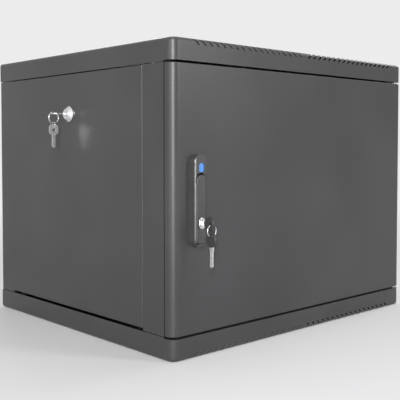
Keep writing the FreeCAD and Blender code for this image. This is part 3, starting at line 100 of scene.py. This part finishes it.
# An edge is marked where the rounded normal leaves the flat one: the cosines between the two at
# which the mark is full and at which there is none, and the samples that round the normal. The
# mark is rubbed wear on the screws, handle and keys, and a painted highlight on the powder coat.
WEAR_AND_HIGHLIGHT_FULL, WEAR_AND_HIGHLIGHT_NONE, WEAR_AND_HIGHLIGHT_SAMPLES = 0.80, 0.97, 4

# The front spare key's blade. The middle of its first cut lies CUT_START pitches above the
# point's shoulder, and the shank falls away under the collar by SHOULDER_FALL. EASE is the most
# that its edges are rounded: Blender narrows that to fit the shortest of them.
COLLAR_HALF, COLLAR_LONG = 0.0038, 0.0045
SHANK_HALF, TIP_LONG = 0.0029, 0.0024
SHOULDER_FALL = SHANK_HALF / 2
CUTS, CUT_PITCH, CUT_START = 5, 0.0034, 0.75
CUT_HALF, CUT_SHALLOW, CUT_DEEPER = CUT_PITCH / 3, 0.0005, 0.0005
GROOVE_OFFSET, GROOVE_HALF, GROOVE_DEEP = SHANK_HALF / 4, 0.00055, 0.00035
EASE, EASE_STEPS = 0.00012, 2


class Graph:
    """The nodes of a world or a material."""

    def __init__(self, tree):
        self.nodes, self.links = tree.nodes, tree.links

    def feed(self, socket, value):
        """Link an input to another node's output, or set the input's own value."""
        if isinstance(value, bpy.types.NodeSocket):
            self.links.new(value, socket)
        else:
            socket.default_value = value

    def maths(self, operation, first, second):
        node = self.nodes.new("ShaderNodeMath")
        node.operation = operation
        self.feed(node.inputs[0], first)
        self.feed(node.inputs[1], second)
        return node.outputs[0]

    def cosine(self, first, second):
        """The cosine between two directions of length 1."""
        node = self.nodes.new("ShaderNodeVectorMath")
        node.operation = "DOT_PRODUCT"
        self.feed(node.inputs[0], first)
        self.feed(node.inputs[1], second)
        return node.outputs["Value"]

    def spread(self, value, low, high, start=NOISE_LOW, end=NOISE_HIGH, curve="LINEAR"):
        """A value that runs from start to end, made to run from low to high."""
        node = self.nodes.new("ShaderNodeMapRange")
        node.interpolation_type = curve
        for socket, number in (("Value", value), ("From Min", start), ("From Max", end),
                               ("To Min", low), ("To Max", high)):
            self.feed(node.inputs[socket], number)
        return node.outputs[0]

    def look_rays(self):
        """1 for rays that are mirrored or pass through, and 1 for those and the camera's."""
        path = self.nodes.new("ShaderNodeLightPath")
        mirroring = self.maths("MAXIMUM", path.outputs["Is Glossy Ray"],
                               path.outputs["Is Transmission Ray"])
        return mirroring, self.maths("MAXIMUM", mirroring, path.outputs["Is Camera Ray"])


# --- camera and light -----------------------------------------------------------------------

def make_camera():
    """The photograph's viewpoint: two thirds of the way up, towards the left front corner."""
    data = bpy.data.cameras.new("Camera")
    data.lens, data.sensor_width = LENS_MM, SENSOR_MM
    data.shift_y = LENS_SHIFT
    camera = bpy.data.objects.new("Camera", data)
    camera.location = VIEWPOINT
    camera.rotation_euler = (math.radians(TILT_DEGREES), 0, math.radians(HEADING_DEGREES))
    scene.collection.objects.link(camera)
    scene.camera = camera


def softbox(name, place, target, size, watts):
    """A rectangular lamp that faces a point of the cabinet."""
    data = bpy.data.lights.new(name, "AREA")
    data.shape = "RECTANGLE"
    data.size, data.size_y = size
    data.energy = watts
    lamp = bpy.data.objects.new(name, data)
    lamp.location = place
    lamp.rotation_euler = (Vector(target) - Vector(place)).to_track_quat("-Z", "Y").to_euler()
    scene.collection.objects.link(lamp)


def make_world():
    """An even light, which the camera sees as a pale sky and reflections see with the flags."""
    world = bpy.data.worlds.new("Studio")
    scene.world = world
    world.use_nodes = True
    graph = Graph(world.node_tree)
    mirroring, looking = graph.look_rays()
    ray = graph.nodes.new("ShaderNodeTexCoord").outputs["Generated"]
    mirrored = BACKDROP
    for direction, start, full, left in FLAGS:
        flag = graph.spread(graph.cosine(ray, direction), 1.0, left, start, full, "SMOOTHSTEP")
        mirrored = graph.maths("MULTIPLY", flag, mirrored)
    pale = graph.spread(mirroring, BACKDROP, mirrored, 0.0, 1.0)
    sky = graph.nodes["Background"]
    graph.feed(sky.inputs["Color"], SKY_COLOUR)
    graph.feed(sky.inputs["Strength"], graph.spread(looking, AMBIENT, pale, 0.0, 1.0))


make_camera()
make_world()
for lamp in LAMPS:
    softbox(*lamp)


# --- materials ------------------------------------------------------------------------------

class Finish(Graph):
    """A Principled material and the nodes that vary it over the surface."""

    def __init__(self, name, **sockets):
        self.material = bpy.data.materials.new(name)
        self.material.use_nodes = True
        super().__init__(self.material.node_tree)
        self.shader = self.nodes["Principled BSDF"]
        for socket, value in sockets.items():
            self.drive(socket.replace("_", " "), value)
        self.place = self.nodes.new("ShaderNodeTexCoord").outputs["Object"]

    def drive(self, socket, value):
        self.feed(self.shader.inputs[socket], value)

    def stretched(self, x, y, z):
        """The object's coordinates with each axis scaled, for grain that runs one way."""
        mapping = self.nodes.new("ShaderNodeMapping")
        self.feed(mapping.inputs["Scale"], (x, y, z))
        self.feed(mapping.inputs["Vector"], self.place)
        return mapping.outputs["Vector"]

    def noise(self, scale, detail, place=None):
        node = self.nodes.new("ShaderNodeTexNoise")
        self.feed(node.inputs["Scale"], scale)
        self.feed(node.inputs["Detail"], detail)
        self.feed(node.inputs["Vector"], place or self.place)
        return node.outputs["Fac"]

    def cells(self, scale):
        node = self.nodes.new("ShaderNodeTexVoronoi")
        self.feed(node.inputs["Scale"], scale)
        self.feed(node.inputs["Vector"], self.place)
        return node.outputs["Color"]

    def blend(self, factor, first, second):
        """The first colour where the factor is 0, the second where it is 1."""
        node = self.nodes.new("ShaderNodeMix")
        node.data_type = "RGBA"
        sockets = [socket for socket in node.inputs if socket.enabled]
        for socket, value in zip(sockets, (factor, first, second)):
            self.feed(socket, value)
        return [socket for socket in node.outputs if socket.enabled][0]

    def bump(self, height, distance, strength, under=None):
        """A normal raised by the height, over that of another bump where there is one."""
        node = self.nodes.new("ShaderNodeBump")
        self.feed(node.inputs["Distance"], distance)
        self.feed(node.inputs["Strength"], strength)
        self.feed(node.inputs["Height"], height)
        if under:
            self.feed(node.inputs["Normal"], under)
        return node.outputs["Normal"]

    def edges(self, radius):
        """1 along the edges that a hand or a tool rubs, and 0 on the flats; on the powder coat it
        places a painted highlight along the edges instead.
        """
        bevel = self.nodes.new("ShaderNodeBevel")
        bevel.samples = WEAR_AND_HIGHLIGHT_SAMPLES
        self.feed(bevel.inputs["Radius"], radius)
        flat = self.nodes.new("ShaderNodeNewGeometry")
        facing = self.cosine(bevel.outputs["Normal"], flat.outputs["Normal"])
        return self.spread(facing, 1.0, 0.0, WEAR_AND_HIGHLIGHT_FULL, WEAR_AND_HIGHLIGHT_NONE)

    def edge_wear_and_highlight(self, radius, scale, detail, least, most):
        """Wear along the edges, in patches that run from least to most; on the powder coat this
        is a painted highlight.
        """
        patches = self.spread(self.noise(scale, detail), least, most)
        return self.maths("MULTIPLY", self.edges(radius), patches)


def grey(level, blue=1.0):
    return (level, level, level * blue, 1.0)


def powder_coat():
    """Satin black powder: fine orange peel, pale flecks and a painted highlight along the edges.
    """
    m = Finish("powder_coat_satin", Specular_IOR_Level=0.42)
    cloud = m.spread(m.noise(scale=7, detail=3), low=0.0, high=1.0)
    tone = m.blend(cloud, grey(0.029, blue=1.04), grey(0.037, blue=1.05))
    fleck = m.spread(m.noise(scale=2400, detail=1), low=0.0, high=0.5, start=0.62, end=0.78)
    tone = m.blend(fleck, tone, grey(0.115, blue=1.03))
    # Painted highlight: the edges are lightened towards grey 0.16, in patches, for the light that
    # the bends catch.
    edge_wear_and_highlight = m.edge_wear_and_highlight(radius=0.0007, scale=60, detail=4, least=0.15, most=0.6)
    m.drive("Base Color", m.blend(edge_wear_and_highlight, tone, grey(0.16)))
    m.drive("Roughness", m.spread(m.noise(scale=900, detail=2), low=0.33, high=0.43))
    peel = m.bump(m.noise(scale=520, detail=2), distance=0.00008, strength=0.5)
    grain = m.bump(m.noise(scale=1900, detail=2), distance=0.00005, strength=0.55, under=peel)
    m.drive("Normal", grain)
    return m.material


def zinc_steel():
    """Zinc plate with its faint spangle and rolling lines."""
    m = Finish("zinc_plate", Metallic=1.0)
    spangle = m.spread(m.cells(scale=210), low=0.0, high=1.0, start=0.0, end=1.0)
    m.drive("Base Color", m.blend(spangle, grey(0.52, blue=1.02), grey(0.64, blue=1.03)))
    m.drive("Roughness", m.spread(m.noise(scale=160, detail=3), low=0.27, high=0.44))
    lines = m.noise(scale=1, detail=2, place=m.stretched(x=1500, y=1500, z=60))
    m.drive("Normal", m.bump(lines, distance=0.00002, strength=0.4))
    return m.material


def black_screws():
    """Black zinc on screws, with bright metal showing at the edges of their heads."""
    m = Finish("black_zinc", Metallic=0.7)
    edge_wear_and_highlight = m.edge_wear_and_highlight(radius=0.0003, scale=900, detail=3, least=0.2, most=0.8)
    m.drive("Base Color", m.blend(edge_wear_and_highlight, grey(0.035), grey(0.3)))
    m.drive("Roughness", m.spread(m.noise(scale=700, detail=2), low=0.3, high=0.45))
    return m.material


def handle_black():
    """A painted zinc die casting, smoother and a little glossier than the powder coat."""
    m = Finish("handle_paint", Specular_IOR_Level=0.45, Coat_Weight=0.12, Coat_Roughness=0.25)
    cloud = m.spread(m.noise(scale=45, detail=3), low=0.0, high=1.0)
    tone = m.blend(cloud, grey(0.034, blue=1.02), grey(0.046, blue=1.03))
    edge_wear_and_highlight = m.edge_wear_and_highlight(radius=0.0005, scale=240, detail=4, least=0.1, most=0.6)
    m.drive("Base Color", m.blend(edge_wear_and_highlight, tone, grey(0.15)))
    m.drive("Roughness", m.spread(m.noise(scale=800, detail=2), low=0.30, high=0.40))
    grain = m.noise(scale=1500, detail=2)
    m.drive("Normal", m.bump(grain, distance=0.00004, strength=0.4))
    return m.material


def badge_blue():
    """A plain blue insert under a clear dome."""
    m = Finish("badge_enamel", Roughness=0.28, Coat_Weight=1.0, Coat_Roughness=0.05)
    cloud = m.spread(m.noise(scale=500, detail=2), low=0.0, high=1.0)
    m.drive("Base Color", m.blend(cloud, (0.03, 0.15, 0.50, 1.0), (0.05, 0.21, 0.62, 1.0)))
    return m.material


def chrome():
    """Plate on turned metal: the tangent round X spreads its highlights as a lathe's cut does."""
    m = Finish("chrome_plate", Metallic=1.0, Base_Color=grey(0.68, blue=1.02), Anisotropic=0.75)
    turning = m.nodes.new("ShaderNodeTangent")
    turning.direction_type, turning.axis = "RADIAL", "X"
    m.drive("Tangent", turning.outputs[0])
    marks = m.noise(scale=1, detail=3, place=m.stretched(x=500, y=2600, z=2600))
    m.drive("Roughness", m.spread(marks, low=0.14, high=0.28))
    m.drive("Normal", m.bump(marks, distance=0.000012, strength=0.4))
    return m.material


def plug_steel():
    """Brushed nickel."""
    m = Finish("plug_nickel", Metallic=1.0)
    lines = m.noise(scale=1, detail=3, place=m.stretched(x=3200, y=3200, z=300))
    m.drive("Base Color", m.blend(lines, grey(0.5, blue=1.02), grey(0.68, blue=1.02)))
    m.drive("Roughness", m.spread(lines, low=0.2, high=0.36))
    m.drive("Normal", m.bump(lines, distance=0.00002, strength=0.5))
    return m.material


def key_steel():
    """Nickel plate with the fine scratches of a key."""
    m = Finish("key_nickel", Metallic=1.0)
    lines = m.noise(scale=1, detail=4, place=m.stretched(x=2400, y=2400, z=500))
    cloud = m.spread(m.noise(scale=220, detail=3), low=0.0, high=1.0)
    m.drive("Base Color", m.blend(cloud, grey(0.62), grey(0.76)))
    m.drive("Roughness", m.spread(lines, low=0.24, high=0.40))
    m.drive("Normal", m.bump(lines, distance=0.000025, strength=0.5))
    return m.material


def key_plastic():
    """Black moulding with a spark-eroded grain, rubbed smooth on its rim."""
    m = Finish("key_moulding", Specular_IOR_Level=0.5)
    rubbed = m.edges(radius=0.0006)
    m.drive("Base Color", m.blend(rubbed, grey(0.022), grey(0.05)))
    m.drive("Roughness", m.spread(rubbed, low=0.48, high=0.3, start=0.0, end=1.0))
    grain = m.noise(scale=2600, detail=2)
    m.drive("Normal", m.bump(grain, distance=0.00005, strength=0.5))
    return m.material


def nylon():
    """Natural nylon, slightly yellow and cloudy."""
    m = Finish("nylon_natural", Roughness=0.45, Subsurface_Weight=0.1)
    cloud = m.noise(scale=300, detail=3)
    m.drive("Base Color", m.blend(cloud, grey(0.74, blue=0.93), grey(0.82, blue=0.94)))
    return m.material


MAKERS = {"powder_coat": powder_coat, "zinc_steel": zinc_steel, "black_screws": black_screws,
          "handle_black": handle_black, "badge_blue": badge_blue, "chrome": chrome,
          "plug_steel": plug_steel, "key_steel": key_steel, "key_plastic": key_plastic,
          "nylon": nylon}

finishes = {name: make() for name, make in MAKERS.items()}


def dress(piece, slot):
    piece.data.materials.clear()
    piece.data.materials.append(finishes[slot])


for entry in frame["record"]["subparts"]:
    dress(frame["nodes"][entry["node"]], entry["material_slot"])


# --- the front spare key's blade ------------------------------------------------------------

def prism(name, outline, x_left, x_right):
    """A closed solid: an outline of (y, z) pairs drawn out along X."""
    count = len(outline)
    points = [(x, y, z) for x in (x_left, x_right) for y, z in outline]
    faces = [tuple(range(count)), tuple(reversed(range(count, count * 2)))]
    faces += [(n, n + count, (n + 1) % count + count, (n + 1) % count) for n in range(count)]
    mesh = bpy.data.meshes.new(name)
    mesh.from_pydata(points, [], faces)
    solid = bmesh.new()
    solid.from_mesh(mesh)
    bmesh.ops.recalc_face_normals(solid, faces=solid.faces)
    solid.to_mesh(mesh)
    solid.free()
    piece = bpy.data.objects.new(name, mesh)
    scene.collection.objects.link(piece)
    return piece


def carve(piece, cutters):
    """Take the cutters out of the piece and ease its sharp edges."""
    for cutter in cutters:
        cut = piece.modifiers.new("cut", "BOOLEAN")
        cut.operation, cut.solver, cut.object = "DIFFERENCE", "EXACT", cutter
    ease = piece.modifiers.new("ease", "BEVEL")
    ease.width, ease.segments, ease.limit_method = EASE, EASE_STEPS, "ANGLE"
    bpy.context.view_layer.update()
    shaped = piece.evaluated_get(bpy.context.evaluated_depsgraph_get())
    mesh = bpy.data.meshes.new_from_object(shaped)
    piece.modifiers.clear()
    piece.data = mesh
    for cutter in cutters:
        bpy.data.objects.remove(cutter)


def blade_outline(middle, root, top, tip):
    """From the root in the head: a collar, a straight back, a point and a row of fine cuts."""
    shank = top - COLLAR_LONG
    point = tip + TIP_LONG
    outline = [(middle - COLLAR_HALF, root), (middle + COLLAR_HALF, root),
               (middle + COLLAR_HALF, shank), (middle + SHANK_HALF, shank - SHOULDER_FALL),
               (middle + SHANK_HALF, point), (middle, tip), (middle - SHANK_HALF, point)]
    for n in range(CUTS):
        centre = point + CUT_PITCH * (n + CUT_START)
        depth = CUT_SHALLOW + CUT_DEEPER * (n % 2)
        outline += [(middle - SHANK_HALF, centre - CUT_HALF),
                    (middle - SHANK_HALF + depth, centre),
                    (middle - SHANK_HALF, centre + CUT_HALF)]
    return outline + [(middle - SHANK_HALF, shank - SHOULDER_FALL), (middle - COLLAR_HALF, shank)]


def spare_blade():
    """The blade with its collar, cuts and milled grooves, in place of the node's plain one."""
    low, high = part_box("front_spare_key_blade")
    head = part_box("front_spare_key_head")[0].z
    middle = (low.y + high.y) / 2
    piece = prism("spare_blade", blade_outline(middle, high.z, head, low.z), low.x, high.x)
    track = middle + GROOVE_OFFSET
    bottom, top = low.z - TIP_LONG, head - COLLAR_LONG
    strip = [(track - GROOVE_HALF, bottom), (track + GROOVE_HALF, bottom),
             (track + GROOVE_HALF, top), (track - GROOVE_HALF, top)]
    grooves = [prism("groove", strip, x - GROOVE_DEEP, x + GROOVE_DEEP) for x in (low.x, high.x)]
    carve(piece, grooves)
    dress(piece, "key_steel")
    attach(piece, "front_spare_key")
    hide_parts("front_spare_key_blade")


spare_blade()


# --- floor ----------------------------------------------------------------------------------

def make_floor():
    """A pale floor that keeps the cabinet's shadow and far off fades into the backdrop."""
    far = FLOOR_REACH
    mesh = bpy.data.meshes.new("Floor")
    mesh.from_pydata([(-far, -far, 0), (far, -far, 0), (far, far, 0), (-far, far, 0)],
                     [], [(0, 1, 2, 3)])
    floor = bpy.data.objects.new("Floor", mesh)
    floor.location.z = cad_low.z - FLOOR_DROP
    m = Finish("pale_floor", Base_Color=FLOOR_COLOUR, Roughness=0.9, Specular_IOR_Level=0.1)
    away = m.nodes.new("ShaderNodeVectorMath")
    away.operation = "LENGTH"
    m.feed(away.inputs[0], m.place)
    faded = m.spread(away.outputs["Value"], 0.0, 1.0, FADE_START, FADE_END)
    glow = m.nodes.new("ShaderNodeEmission")
    m.feed(glow.inputs["Strength"], BACKDROP)
    looking = m.look_rays()[1]
    mixed = m.nodes.new("ShaderNodeMixShader")
    for socket, value in zip(mixed.inputs, (m.maths("MULTIPLY", faded, looking),
                                            m.shader.outputs[0], glow.outputs[0])):
        m.feed(socket, value)
    m.feed(m.nodes["Material Output"].inputs["Surface"], mixed.outputs[0])
    mesh.materials.append(m.material)
    scene.collection.objects.link(floor)


make_floor()
